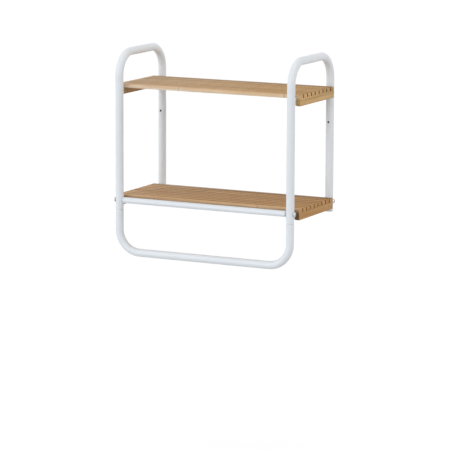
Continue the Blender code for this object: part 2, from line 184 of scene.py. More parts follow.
# Painted light and shade on the boards' faces, as shares of the wood's own colour: faces that
# stand in the light lighter, faces in shade darker. A pair runs from front to rear for the gaps
# and the outer ends, and from left to right in the others.
# Painted shade on the slats' sides in the gaps between them, deeper towards the rear
GAP_PAINTED_SHADE = {
    "upper": ((0.33, 0.22, 0.09), (0.09, 0.06, 0.03)),
    "lower": ((0.72, 0.62, 0.50), (0.22, 0.16, 0.12)),
}
# Painted light on the outer ends of slats and cleats: the upper shelf's ends lit brighter and
# fading towards the rear, the lower shelf's darker in painted shade
OUTER_END_PAINTED_LIGHT = {
    "upper": ((1.18, 1.22, 1.14), (0.90, 0.91, 0.80)),
    "lower": ((0.91, 0.81, 0.62), (0.91, 0.81, 0.62)),
}
# Painted light and shadow on the slats' tops: paler and lit at the left end, darker in painted
# shadow towards the right end
TOP_PAINTED_LIGHT_AND_SHADOW = {
    "upper": ((1.02, 1.09, 1.28), (0.95, 0.88, 0.66)),
    "lower": ((1.05, 1.04, 1.05), (0.87, 0.74, 0.54)),
}
# Painted highlight on the top of the front slat, lighter than the other tops
FRONT_TOP_PAINTED_HIGHLIGHT = {
    "upper": ((1.29, 1.37, 1.62), (1.25, 1.24, 1.28)),
    "lower": ((1.12, 1.11, 1.12), (1.19, 1.21, 1.26)),
}
# Painted light on the upper part of the front slat's front face, paler where it faces the light
FRONT_FACE_HIGH_PAINTED_LIGHT = {
    "upper": ((1.48, 1.72, 2.42), (1.43, 1.53, 1.80)),
    "lower": ((1.05, 1.06, 1.13), (1.05, 1.06, 1.13)),
}
# Painted light on the lower part of the front slat's front face on the upper shelf, and painted
# shade there on the lower shelf behind the crossbar
FRONT_FACE_LOW_PAINTED_LIGHT_AND_SHADE = {
    "upper": ((1.41, 1.82, 2.90), (1.36, 1.66, 2.10)),
    "lower": ((0.45, 0.52, 0.72), (0.45, 0.52, 0.72)),
}
# The rear slat's top darker than the others, and darker still towards the right as painted shadow
REAR_BOARD_TONE_AND_SHADOW = {
    "upper": ((0.86, 0.90, 0.96), (0.61, 0.63, 0.70)),
    "lower": ((0.78, 0.84, 0.92), (0.58, 0.60, 0.64)),
}
# Painted light and shade on the cleats' ends: a little lit on the upper shelf, in deep painted
# shade behind the leg and bolt on the lower shelf
CLEAT_END_PAINTED_LIGHT_AND_SHADE = {"upper": (1.05, 1.10, 1.08), "lower": (0.34, 0.30, 0.28)}
# Painted shade on the cleats' inner faces, deepest on the lower shelf
INNER_FACE_PAINTED_SHADE = {"upper": (0.84, 0.79, 0.66), "lower": (0.50, 0.50, 0.52)}

# How far a face's normal has to point along an axis to take the painted light and shade of that
# side
SLAT_FACING = 0.9
CLEAT_FACING = 0.7

SIDES = (("left", -1), ("right", 1))
ENDS = (("front", FRONT_Y, -1), ("rear", REAR_Y, 1))


# Meshes

def link(name, data):
    item = bpy.data.objects.new(name, data)
    bpy.context.scene.collection.objects.link(item)
    return item


def smooth(mesh):
    """Shade a mesh smooth but for its own sharp edges."""
    mesh.shade_smooth()
    mesh.set_sharp_from_angle(angle=SMOOTH_ANGLE)


def finished_mesh(name, bm):
    bmesh.ops.recalc_face_normals(bm, faces=bm.faces)
    mesh = bpy.data.meshes.new(name)
    bm.to_mesh(mesh)
    bm.free()
    smooth(mesh)
    return mesh


def skin(name, rings, closed=False):
    """Mesh through rings of points, where a ring of one point is a pole.

    Closed joins the last ring to the first.
    """
    bm = bmesh.new()
    made = [[bm.verts.new(point) for point in ring] for ring in rings]
    pairs = list(zip(made, made[1:] + made[:1])) if closed else list(zip(made, made[1:]))
    for low, high in pairs:
        count = max(len(low), len(high))
        for index in range(count):
            after = (index + 1) % count
            if len(low) == 1:
                bm.faces.new((low[0], high[index], high[after]))
            elif len(high) == 1:
                bm.faces.new((low[after], low[index], high[0]))
            else:
                bm.faces.new((low[index], low[after], high[after], high[index]))
    return finished_mesh(name, bm)


def carve(piece, tools):
    """Cut tools from a piece and remove them."""
    for tool in tools:
        step = piece.modifiers.new(tool.name, "BOOLEAN")
        step.operation = "DIFFERENCE"
        step.solver = "EXACT"
        step.object = tool
    depsgraph = bpy.context.evaluated_depsgraph_get()
    result = bpy.data.meshes.new_from_object(piece.evaluated_get(depsgraph))
    piece.modifiers.clear()
    old = piece.data
    piece.data = result
    bpy.data.meshes.remove(old)
    for tool in tools:
        mesh = tool.data
        bpy.data.objects.remove(tool, do_unlink=True)
        bpy.data.meshes.remove(mesh)
    smooth(result)
    return piece


def ring_angles(sides, shift=0.5):
    """Angles of a ring's points, shifted by a share of one side."""
    return [2 * math.pi * (index + shift) / sides for index in range(sides)]


def quarter_angles(steps):
    return [math.pi / 2 * step / steps for step in range(steps + 1)]


def rounded_corner(before, corner, after, radius, steps):
    """Points of the bend of a right-angled corner."""
    back = (before - corner).normalized()
    ahead = (after - corner).normalized()
    centre = corner + (back + ahead) * radius
    return [centre - ahead * radius * math.cos(angle) - back * radius * math.sin(angle)
            for angle in quarter_angles(steps)]


def turned(name, profile, sides, place, axis):
    """Mesh turned about an axis through a place, from a profile of (radius, height)."""
    turn = Vector((0, 0, 1)).rotation_difference(Vector(axis)).to_matrix().to_4x4()
    at = Matrix.Translation(place) @ turn
    angles = ring_angles(sides)
    rings = [[at @ Vector((radius * math.cos(a), radius * math.sin(a), height))
              for a in (angles if radius else angles[:1])]
             for radius, height in profile]
    return skin(name, rings)


def rod(name, radius, length, place, axis, sides=HOLE_SIDES):
    """Round cutter centred at a place."""
    half = length / 2
    profile = ((0, -half), (radius, -half), (radius, half), (0, half))
    return link(name, turned(name, profile, sides, place, axis))


def rounded_box(name, low, high, edge, steps):
    bm = bmesh.new()
    size = [high[i] - low[i] for i in range(3)]
    middle = [(high[i] + low[i]) / 2 for i in range(3)]
    scale = Matrix.Translation(middle) @ Matrix.Diagonal((*size, 1.0))
    bmesh.ops.create_cube(bm, size=1.0, matrix=scale)
    bmesh.ops.bevel(bm, geom=bm.edges[:], offset=edge, segments=steps, profile=0.5,
                    affect="EDGES")
    return finished_mesh(name, bm)


def rounded_outline(corners, radii):
    """Points of a closed flat outline, where a radius of zero keeps a corner sharp."""
    corners = [Vector(corner) for corner in corners]
    points = []
    for index, radius in enumerate(radii):
        corner = corners[index]
        if not radius:
            points.append(corner)
            continue
        after = corners[(index + 1) % len(corners)]
        points += rounded_corner(corners[index - 1], corner, after, radius, OUTLINE_STEPS)
    return points


def plate(name, outline, low_x, high_x, edge):
    """Plate between two X values with an outline in (Y, Z) and eased rims."""
    bm = bmesh.new()
    face = bm.faces.new([bm.verts.new((low_x, y, z)) for y, z in outline])
    made = bmesh.ops.extrude_face_region(bm, geom=[face])["geom"]
    corners = [item for item in made if isinstance(item, bmesh.types.BMVert)]
    bmesh.ops.translate(bm, verts=corners, vec=(high_x - low_x, 0, 0))
    bmesh.ops.recalc_face_normals(bm, faces=bm.faces)
    rims = [item for item in bm.edges if item.verts[0].co.x == item.verts[1].co.x]
    bmesh.ops.bevel(bm, geom=rims, offset=edge, segments=PLATE_EDGE_STEPS, profile=0.5,
                    affect="EDGES")
    return finished_mesh(name, bm)


# Tubes

def bent_line(corners, radius):
    """Centre line through corners, bent to a radius, with rings along its straight runs."""
    corners = [Vector(corner) for corner in corners]
    stops = [corners[0]]
    for before, corner, after in zip(corners, corners[1:], corners[2:]):
        stops += rounded_corner(before, corner, after, radius, BEND_STEPS)
    stops.append(corners[-1])
    line = [stops[0]]
    for start, end in zip(stops, stops[1:]):
        count = max(1, round((end - start).length / RING_PITCH))
        line += [start.lerp(end, (index + 1) / count) for index in range(count)]
    return line


def rings_along(line, radii, across, sides):
    """Rings of points round a flat centre line whose plane has the normal across."""
    rings = []
    for index, (place, radius) in enumerate(zip(line, radii)):
        before = line[max(index - 1, 0)]
        after = line[min(index + 1, len(line) - 1)]
        along = (after - before).normalized()
        side = along.cross(across).normalized()
        rings.append([place + (across * math.cos(a) + side * math.sin(a)) * radius
                      for a in ring_angles(sides)])
    return rings


def tube(name, line, outer, inner, across, sides=TUBE_SIDES):
    """Hollow tube with open ends along a flat centre line, its bore marked as bare steel."""
    outside = rings_along(line, outer, across, sides)
    inside = rings_along(line, inner, across, sides)
    mesh = skin(name, outside + inside[::-1], closed=True)
    layer = mesh.attributes.new("bare_steel", "FLOAT", "FACE")
    painted = sides * len(line)
    bare = len(mesh.polygons) - painted - sides
    layer.data.foreach_set("value", [0.0] * painted + [1.0] * bare + [0.0] * sides)
    return link(name, mesh)


def bead(name, points):
    """Weld bead along points, thick and thin in turn, with round ends."""
    rings = []
    last = len(points) - 1
    for index, place in enumerate(points):
        along = (points[min(index + 1, last)] - points[max(index - 1, 0)]).normalized()
        side = along.cross(Vector((1, 0, 0))).normalized()
        over = along.cross(side)
        ripple = BEAD_RIPPLE * math.cos(index * BEAD_RIPPLE_TURN)
        swell = BEAD_RADIUS * (1 - BEAD_RIPPLE + ripple)
        share = min(index, last - index) / BEAD_END_STEPS
        if share < 1:
            swell *= math.sqrt(max(1 - (1 - share) ** 2, 0))
        if not swell:
            rings.append([place])
            continue
        rings.append([place + (side * math.cos(a) + over * math.sin(a)) * swell
                      for a in ring_angles(BEAD_SIDES, 0)])
    return skin(name, rings)


# Materials

class Shade:
    """A node material, with short calls for the nodes that its looks need."""

    # The colour sockets of a Mix node, which share their names with its other sockets
    MIX_LOW = 6
    MIX_HIGH = 7
    MIX_RESULT = 2

    def __init__(self, name):
        self.material = bpy.data.materials.new(name)
        self.material.use_nodes = True
        self.tree = self.material.node_tree
        self.shader = self.tree.nodes["Principled BSDF"]

    def node(self, kind, settings=None, **inputs):
        made = self.tree.nodes.new("ShaderNode" + kind)
        for key, value in (settings or {}).items():
            setattr(made, key, value)
        for key, value in inputs.items():
            self.feed(made.inputs[key.replace("_", " ")], value)
        return made

    def feed(self, socket, value):
        if isinstance(value, bpy.types.NodeSocket):
            self.tree.links.new(value, socket)
        else:
            socket.default_value = value

    def maths(self, operation, *values):
        made = self.node("Math", {"operation": operation})
        for socket, value in zip(made.inputs, values):
            self.feed(socket, value)
        return made.outputs[0]

    def times(self, value, factor):
        return self.maths("MULTIPLY", value, factor)

    def off_middle(self, value):
        """How far a value's fraction is from one half, from 0 to 0.5."""
        fraction = self.maths("FRACT", value)
        return self.maths("ABSOLUTE", self.maths("SUBTRACT", fraction, 0.5))

    def attribute(self, name, output="Fac"):
        return self.node("Attribute", {"attribute_name": name}).outputs[output]

    def place(self, scale=(1, 1, 1)):
        """Position in the rack's frame, where a large scale on an axis gives fine detail."""
        where = self.node("TexCoord").outputs["Object"]
        return self.node("Mapping", Vector=where, Scale=scale).outputs[0]

    def noise(self, vector, scale, detail=2.0, roughness=0.5):
        made = self.node("TexNoise", Vector=vector, Scale=scale, Detail=detail,
                         Roughness=roughness)
        return made.outputs["Fac"]

    def ramp(self, value, *stops):
        made = self.node("ValToRGB", Fac=value)
        bar = made.color_ramp
        while len(bar.elements) < len(stops):
            bar.elements.new(0.5)
        for element, (place, colour) in zip(bar.elements, stops):
            element.position = place
            element.color = (*colour, 1)
        return made.outputs[0]

    def mask(self, value, *stops):
        """Ramp of greys."""
        return self.ramp(value, *((place, (level,) * 3) for place, level in stops))

    def blend(self, share, low, high, how="MIX"):
        made = self.node("Mix", {"data_type": "RGBA", "blend_type": how, "clamp_result": True})
        self.feed(made.inputs["Factor"], share)
        self.feed(made.inputs[self.MIX_LOW], low)
        self.feed(made.inputs[self.MIX_HIGH],
                  high if isinstance(high, bpy.types.NodeSocket) else (*high, 1))
        return made.outputs[self.MIX_RESULT]

    def tinted(self, colour, tint, share=1.0):
        return self.blend(share, colour, tint, "MULTIPLY")

    def spread(self, value, low, high):
        """Value from 0 to 1 spread from low to high."""
        made = self.node("MapRange")
        for key, given in (("Value", value), ("To Min", low), ("To Max", high)):
            self.feed(made.inputs[key], given)
        return made.outputs[0]

    def bump(self, height, distance, strength):
        return self.node("Bump", Height=height, Distance=distance, Strength=strength).outputs[0]

    def finish(self, **inputs):
        for key, value in inputs.items():
            self.feed(self.shader.inputs[key.replace("_", " ")], value)
        return self.material


def powder_coat():
    """Smooth white powder coat with a faint orange peel, and bare steel inside the tubes."""
    s = Shade("white_powder_coat_finish")
    place = s.place()
    peel = s.noise(place, 620, 2, 0.45)
    cloud = s.noise(place, 26, 3)
    colour = s.ramp(cloud, (0.25, (0.815, 0.842, 0.868)), (0.75, (0.838, 0.862, 0.890)))
    dust = s.mask(s.noise(place, 2600, 1), (0.30, 0.955), (0.42, 1))
    colour = s.tinted(colour, dust)
    colour = s.blend(s.attribute("bare_steel"), colour, BARE_STEEL)
    return s.finish(
        Base_Color=colour,
        Roughness=s.spread(s.noise(place, 90, 2), 0.30, 0.44),
        Normal=s.bump(peel, 0.00006, 0.55),
        Specular_IOR_Level=0.3,
    )


def bamboo(name, along):
    """Laminated bamboo with long fibres along an axis, glued strips and rare knuckles."""
    s = Shade(name)
    split = s.node("SeparateXYZ", Vector=s.node("TexCoord").outputs["Object"])
    run, side = ("X", "Y") if along == "X" else ("Y", "X")
    long_way, wide_way, up_way = (split.outputs[axis] for axis in (run, side, "Z"))
    seed = s.attribute("strip_seed")
    moved = s.maths("ADD", long_way, s.times(seed, SEED_TO_LENGTH))

    def fibres(lengthwise, crosswise, detail, roughness):
        """Noise with so many features to the metre along the fibres and across them."""
        place = s.node("CombineXYZ", X=s.times(moved, lengthwise), Y=s.times(wide_way, crosswise),
                       Z=s.times(up_way, crosswise)).outputs[0]
        return s.noise(place, 1.0, detail, roughness)

    broad = fibres(5.0, 260.0, 3, 0.55)
    fine = fibres(22.0, 1500.0, 2, 0.6)

    # Glued strips, each with its own tone and its own knuckles
    across = s.maths("ADD", s.times(wide_way, STRIPS), s.times(seed, SEED_TO_STRIPS))
    strip = s.maths("FLOOR", across)
    strip_key = s.node("CombineXYZ", X=strip, Y=s.times(seed, SEED_TO_TONE)).outputs[0]
    random = s.node("TexWhiteNoise", {"noise_dimensions": "2D"}, Vector=strip_key)
    tone = random.outputs["Value"]
    knuckle_at = s.maths("ADD", s.times(long_way, KNUCKLES), s.times(tone, TONE_TO_KNUCKLES))
    wander = s.times(s.maths("SUBTRACT", broad, 0.5), KNUCKLE_WANDER)
    phase = s.off_middle(s.maths("ADD", knuckle_at, wander))
    knuckle = s.mask(phase, (0.0, 1), (0.0045, 0.75), (0.011, 0))
    halo = s.mask(phase, (0.0, 1), (0.05, 0))

    colour = s.ramp(
        broad,
        (0.28, (0.430, 0.245, 0.105)),
        (0.45, (0.560, 0.345, 0.165)),
        (0.60, (0.640, 0.410, 0.210)),
        (0.76, (0.730, 0.500, 0.280)),
    )
    streak = s.ramp(fine, (0.30, (0.80, 0.755, 0.70)), (0.52, (1, 1, 1)),
                    (0.75, (1.05, 1.04, 1.02)))
    strip_tint = s.ramp(tone, (0.0, (0.885, 0.870, 0.845)), (0.55, (1, 1, 1)),
                        (1.0, (1.075, 1.085, 1.10)))
    board_tint = s.ramp(seed, (0.0, (0.93, 0.92, 0.90)), (0.5, (1, 1, 1)),
                        (1.0, (1.05, 1.055, 1.06)))
    colour = s.tinted(colour, streak, 0.75)
    colour = s.tinted(colour, strip_tint)
    colour = s.tinted(colour, board_tint)
    colour = s.blend(s.times(halo, 0.16), colour, KNUCKLE_HALO)
    colour = s.blend(s.times(knuckle, 0.55), colour, KNUCKLE_LINE)
    seam = s.mask(s.off_middle(across), (0.470, 0), (0.497, 1))
    colour = s.blend(s.times(seam, 0.22), colour, STRIP_SEAM)
    # Painted light and shade on each face of the board, carried by its corners
    colour = s.tinted(colour, s.attribute("face_painted_light", "Color"))

    height = s.maths("ADD", s.times(fine, 0.6), s.times(broad, 0.4))
    height = s.maths("SUBTRACT", height, s.times(seam, 0.35))
    return s.finish(
        Base_Color=colour,
        Roughness=s.spread(fine, 0.50, 0.68),
        Normal=s.bump(height, 0.00012, 0.5),
        Specular_IOR_Level=0.2,
    )


def white_plastic():
    """Plain moulded plastic with a fine matt texture."""
    s = Shade("white_plastic_finish")
    place = s.place()
    cloud = s.noise(place, 120, 2)
    return s.finish(
        Base_Color=s.ramp(cloud, (0.3, (0.760, 0.775, 0.785)), (0.7, (0.800, 0.812, 0.820))),
        Roughness=s.spread(s.noise(place, 700, 2), 0.42, 0.56),
        Normal=s.bump(s.noise(place, 2400, 2), 0.00003, 0.5),
    )


def zinc_plate():
    """Bright zinc plating with a cloudy, finely scratched sheen."""
    s = Shade("zinc_plated_steel_finish")
    cloud = s.noise(s.place(), 420, 3)
    scratch = s.noise(s.place((300, 2400, 5200)), 1.0, 2)
    return s.finish(
        Base_Color=s.ramp(cloud, (0.3, (0.495, 0.515, 0.545)), (0.7, (0.620, 0.620, 0.610))),
        Metallic=1.0,
        Roughness=s.spread(scratch, 0.32, 0.48),
        Normal=s.bump(scratch, 0.00002, 0.4),
    )


COAT = powder_coat()
PLASTIC = white_plastic()
ZINC = zinc_plate()
SLAT_WOOD = bamboo("bamboo_along_x", "X")
CLEAT_WOOD = bamboo("bamboo_along_y", "Y")


def dress(piece, material, *nodes):
    """Give a piece its finish and its body, and hide the solids that it stands for."""
    piece.data.materials.clear()
    piece.data.materials.append(material)
    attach(piece, BODY)
    if nodes:
        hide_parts(*nodes)


def mark_wood(piece, seed, tint):
    """Give a board its seed, and each corner of its faces the painted light and shade for its
    normal and place.
    """
    mesh = piece.data
    layer = mesh.attributes.new("strip_seed", "FLOAT", "POINT")
    layer.data.foreach_set("value", [seed] * len(mesh.vertices))
    layer = mesh.attributes.new("face_painted_light", "FLOAT_COLOR", "CORNER")
    values = []
    for face in mesh.polygons:
        for corner in face.loop_indices:
            place = mesh.vertices[mesh.loops[corner].vertex_index].co
            values += [*tint(face.normal, place), 1.0]
    layer.data.foreach_set("color", values)


# Pieces

def side_frame(side_name, side):
    """Bent tube arch, with the wall hole and the crossbars' bolt holes drilled through."""
    x = side * LEG_X
    corners = ((x, FRONT_Y, RAIL_JOINT_Z), (x, FRONT_Y, ARCH_TOP_Z),
               (x, REAR_Y, ARCH_TOP_Z), (x, REAR_Y, REAR_LEG_END_Z))
    line = bent_line(corners, ARCH_BEND_RADIUS)
    line.insert(1, line[0] + Vector((0, 0, ARCH_EASING)))
    line.insert(-1, line[-1] + Vector((0, 0, ARCH_EASING)))
    outer = [TUBE_RADIUS] * len(line)
    outer[0] = outer[-1] = TUBE_RADIUS - ARCH_EASING
    inner = [BORE_RADIUS] * len(line)
    arch = tube(f"{side_name}_arch_tube", line, outer, inner, Vector((1, 0, 0)))
    through = 2 * TUBE_RADIUS + OVERRUN
    tools = [rod("wall_hole", WALL_HOLE_RADIUS, through, (x, REAR_Y, 0), (0, 1, 0))]
    tools += [rod(f"{end_name}_bolt_hole", BOLT_HOLE_RADIUS, through, (x, end_y, CROSSBAR_Z),
                  (1, 0, 0)) for end_name, end_y, _ in ENDS]
    dress(carve(arch, tools), COAT, f"{side_name}_side_frame")
    for shelf_name, top_z in SHELF_TOPS.items():
        for end_name, end_y, facing in ENDS:
            bracket(f"{side_name}_{shelf_name}_{end_name}", side, top_z, end_y, facing)


def bracket(name, side, top_z, end_y, facing):
    """Welded plate from a leg to the cleat's inner face, with a bead down each side."""
    middle_z = top_z - CLEAT_MIDDLE_DROP
    low_z, high_z = middle_z - BRACKET_HALF_HEIGHT, middle_z + BRACKET_HALF_HEIGHT
    root_y = end_y - facing * BRACKET_ROOT_REACH
    tip_y = MIDDLE_Y + facing * BRACKET_TIP_REACH
    corners = ((root_y, low_z), (tip_y, low_z), (tip_y, high_z), (root_y, high_z))
    outline = rounded_outline(corners, (0, BRACKET_TIP_RADIUS, BRACKET_TIP_RADIUS, 0))
    low_x, high_x = sorted((side * BRACKET_INNER_X, side * BRACKET_OUTER_X))
    made = link(f"{name}_bracket", plate(name, outline, low_x, high_x, BRACKET_EDGE))
    hole_at = ((low_x + high_x) / 2, MIDDLE_Y + facing * BRACKET_HOLE_REACH, middle_z)
    tool = rod("screw_hole", SCREW_HOLE_RADIUS, high_x - low_x + OVERRUN, hole_at, (1, 0, 0))
    dress(carve(made, [tool]), COAT)
    for face_name, face_x in (("inner", BRACKET_INNER_X), ("outer", BRACKET_OUTER_X)):
        offset = face_x - LEG_X
        bead_y = end_y - facing * math.sqrt(TUBE_RADIUS ** 2 - offset ** 2)
        points = [Vector((side * face_x, bead_y, low_z + (high_z - low_z) * step / BEAD_STEPS))
                  for step in range(BEAD_STEPS + 1)]
        dress(link(f"{name}_{face_name}_weld", bead(name, points)), COAT)


def towel_rail():
    """U-bent tube whose necked ends plug up into the front legs."""
    shoulder_z = RAIL_JOINT_Z - FIT_GAP
    neck_z = shoulder_z - RAIL_NECK_LENGTH
    corners = [(side * LEG_X, FRONT_Y, z)
               for side, z in ((-1, neck_z), (-1, RAIL_Z), (1, RAIL_Z), (1, neck_z))]
    body = bent_line(corners, RAIL_BEND_RADIUS)
    heights = (SPIGOT_TOP_Z, SPIGOT_TOP_Z - SPIGOT_LEAD, (SPIGOT_TOP_Z + shoulder_z) / 2,
               shoulder_z)
    left = [Vector((-LEG_X, FRONT_Y, z)) for z in heights]
    right = [Vector((-place.x, place.y, place.z)) for place in left[::-1]]
    line = left + body + right
    spigot = [SPIGOT_RADIUS - SPIGOT_LEAD] + [SPIGOT_RADIUS] * (len(left) - 1)
    outer = spigot + [TUBE_RADIUS] * len(body) + spigot[::-1]
    bore = [SPIGOT_RADIUS - TUBE_WALL] * len(spigot)
    inner = bore + [BORE_RADIUS] * len(body) + bore
    rail = tube("towel_rail_tube", line, outer, inner, Vector((0, 1, 0)))
    tools = [rod(f"{side_name}_rail_hole", BOLT_HOLE_RADIUS, 2 * TUBE_RADIUS,
                 (side * LEG_X, FRONT_Y, CROSSBAR_Z), (1, 0, 0)) for side_name, side in SIDES]
    dress(carve(rail, tools), COAT, "towel_rail")


def crossbar(end_name, end_y):
    """Straight tube with eased ends."""
    low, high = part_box(f"{end_name}_crossbar")
    length = high.x - low.x
    rings = [low.x + length * step / BAR_RINGS for step in range(1, BAR_RINGS)]
    stops = [low.x, low.x + BAR_EASING, *rings, high.x - BAR_EASING, high.x]
    line = [Vector((x, end_y, CROSSBAR_Z)) for x in stops]
    outer = [CROSSBAR_RADIUS] * len(line)
    outer[0] = outer[-1] = CROSSBAR_RADIUS - BAR_EASING
    inner = [CROSSBAR_BORE_RADIUS] * len(line)
    bar = tube(f"{end_name}_crossbar_tube", line, outer, inner, Vector((0, 0, 1)), BAR_SIDES)
    dress(bar, COAT, f"{end_name}_crossbar")


def saddle_washer(place_name, side, end_y):
    """Washer between the crossbar's flat end and the leg, necked where the leg curves away."""
    node = f"saddle_washer_{place_name}"
    low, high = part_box(node)
    length = high.x - low.x
    half = length / 2
    centre = ((low.x + high.x) / 2, end_y, CROSSBAR_Z)
    rim, neck = CROSSBAR_RADIUS, WASHER_NECK_RADIUS
    profile = ((0, -half), (rim - BAR_EASING, -half), (rim, -half + BAR_EASING),
               (rim, WASHER_WEB - half), (neck, WASHER_WEB - half), (neck, half), (0, half))
    mesh = turned(node, profile, BAR_SIDES, centre, (side, 0, 0))
    tools = [
        rod("leg_hollow", TUBE_RADIUS + FIT_GAP, 4 * CROSSBAR_RADIUS,
            (side * LEG_X, end_y, CROSSBAR_Z), (0, 0, 1), TUBE_SIDES),
        rod("bolt_way", BOLT_HOLE_RADIUS, length + OVERRUN, centre, (1, 0, 0)),
    ]
    dress(carve(link(f"{node}_moulding", mesh), tools), PLASTIC, node)


def dome(radius, height, rim, steps):
    """Profile of a domed head over a straight rim, from its top to its seat at zero."""
    rise = height - rim
    top = [(radius * math.sin(a), rim + rise * math.cos(a)) for a in quarter_angles(steps)]
    return top + [(radius, HEAD_EASING), (radius - HEAD_EASING, 0)]


def thread(radius, depth, pitch, start, end):
    """Profile of a thread cut between two heights, crests and roots in turn."""
    count = int(2 * (start - end) / pitch)
    return [(radius - depth * (step % 2), start - step * pitch / 2) for step in range(count + 1)]


def frame_bolt(place_name, side, end_y):
    """Domed bolt with a hexagonal socket and a cut thread."""
    node = f"frame_bolt_{place_name}"
    low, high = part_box(node)
    seat_x = LEG_X + TUBE_RADIUS + FIT_GAP
    height = max(abs(low.x), abs(high.x)) - seat_x
    length = seat_x - min(abs(low.x), abs(high.x))
    radius = (high.z - low.z) / 2
    profile = dome(radius, height, BOLT_RIM, BOLT_DOME_STEPS) + [(BOLT_RADIUS, -HEAD_EASING)]
    profile += thread(BOLT_RADIUS, BOLT_THREAD_DEPTH, BOLT_THREAD_PITCH, -BOLT_PLAIN_LENGTH,
                      BOLT_LEAD - length)
    profile += [(BOLT_RADIUS - BOLT_LEAD, -length), (0, -length)]
    mesh = turned(node, profile, HEAD_SIDES, (side * seat_x, end_y, CROSSBAR_Z), (side, 0, 0))
    socket = rod("socket", SOCKET_RADIUS, 2 * SOCKET_DEPTH,
                 (side * (seat_x + height), end_y, CROSSBAR_Z), (1, 0, 0), SOCKET_SIDES)
    dress(carve(link(f"{node}_turned", mesh), [socket]), ZINC, node)


def leg_cap(side_name, side):
    """Moulded cap in a rear leg's open end."""
    node = f"{side_name}_rear_leg_cap"
    plug = BORE_RADIUS - FIT_GAP
    hollow = plug - CAP_WALL
    rim = [(TUBE_RADIUS - CAP_EDGE + CAP_EDGE * math.cos(a),
            CAP_EDGE - CAP_HEAD - CAP_EDGE * math.sin(a))
           for a in quarter_angles(CAP_EDGE_STEPS)]
    profile = [(0, 0), (hollow, 0), (hollow, CAP_DEPTH), (plug - CAP_LEAD, CAP_DEPTH),
               (plug, CAP_DEPTH - CAP_LEAD), (plug, 0), (TUBE_RADIUS - HEAD_EASING, 0),
               (TUBE_RADIUS, -HEAD_EASING)] + rim + [(0, -CAP_HEAD)]
    seat = (side * LEG_X, REAR_Y, REAR_LEG_END_Z - FIT_GAP)
    cap = link(f"{node}_moulding", turned(node, profile, TUBE_SIDES, seat, (0, 0, 1)))
    dress(cap, PLASTIC, node)


def shelf_screw(shelf_name, place_name, side):
    """Pan-head screw with a cross recess and a cut thread."""
    node = f"{shelf_name}_shelf_screw_{place_name}"
    low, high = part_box(node)
    inner_x = min(abs(low.x), abs(high.x))
    tip_x = max(abs(low.x), abs(high.x))
    middle = (low + high) / 2
    head_radius = (high.z - low.z) / 2
    seat_x = inner_x + SCREW_HEAD_HEIGHT
    length = tip_x - seat_x
    profile = dome(head_radius, SCREW_HEAD_HEIGHT, SCREW_RIM, SCREW_DOME_STEPS)
    profile += [(SCREW_RADIUS, -SCREW_EASING)]
    profile += thread(SCREW_RADIUS, SCREW_THREAD_DEPTH, SCREW_THREAD_PITCH,
                      -SCREW_PLAIN_LENGTH, SCREW_TIP - length)
    profile += [(0, -length)]
    mesh = turned(node, profile, HEAD_SIDES, (side * seat_x, middle.y, middle.z), (-side, 0, 0))
    centre = Vector((side * inner_x, middle.y, middle.z))
    tools = []
    for slot_name, width, height in (("level", RECESS_LENGTH, RECESS_WIDTH),
                                     ("plumb", RECESS_WIDTH, RECESS_LENGTH)):
        half = Vector((RECESS_DEPTH, width / 2, height / 2))
        slot = rounded_box(slot_name, centre - half, centre + half, SCREW_EASING,
                           RECESS_EDGE_STEPS)
        tools.append(link(slot_name, slot))
    dress(carve(link(f"{node}_turned", mesh), tools), ZINC, node)


def between(tints, share):
    low, high = map(Vector, tints)
    return low.lerp(high, share)


def from_front(tints, place):
    """Tint between the one at the shelf's front and the one at its rear."""
    return between(tints, 0.5 + (place.y - MIDDLE_Y) / (2 * SHELF_HALF_DEPTH))


def slat(shelf_name, index, seed):
    """Slat with rounded edges, its grain along X."""
    node = f"{shelf_name}_slat_{index + 1}"
    low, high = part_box(node)
    board = link(f"{node}_board", rounded_box(node, low, high, BOARD_EDGE, BOARD_EDGE_STEPS))
    first, last = index == 0, index == SLAT_COUNT - 1

    # Painted light and shade for each face: lit ends and front, shaded gaps, and tops lit or in
    # painted shadow
    def tint(normal, place):
        along = 0.5 + place.x / (2 * SHELF_HALF_LENGTH)
        if abs(normal.x) > SLAT_FACING:
            return from_front(OUTER_END_PAINTED_LIGHT[shelf_name], place)
        if first and normal.y < -SLAT_FACING:
            face_low = between(FRONT_FACE_LOW_PAINTED_LIGHT_AND_SHADE[shelf_name], along)
            face_high = between(FRONT_FACE_HIGH_PAINTED_LIGHT[shelf_name], along)
            return face_low.lerp(face_high, (place.z - low.z) / (high.z - low.z))
        if abs(normal.y) > SLAT_FACING and not (last and normal.y > 0):
            return from_front(GAP_PAINTED_SHADE[shelf_name], place)
        if first:
            return between(FRONT_TOP_PAINTED_HIGHLIGHT[shelf_name], along)
        top_painted_light = between(TOP_PAINTED_LIGHT_AND_SHADOW[shelf_name], along)
        return top_painted_light * between(REAR_BOARD_TONE_AND_SHADOW[shelf_name], along) if last else top_painted_light

    mark_wood(board, seed, tint)
    dress(board, SLAT_WOOD, node)


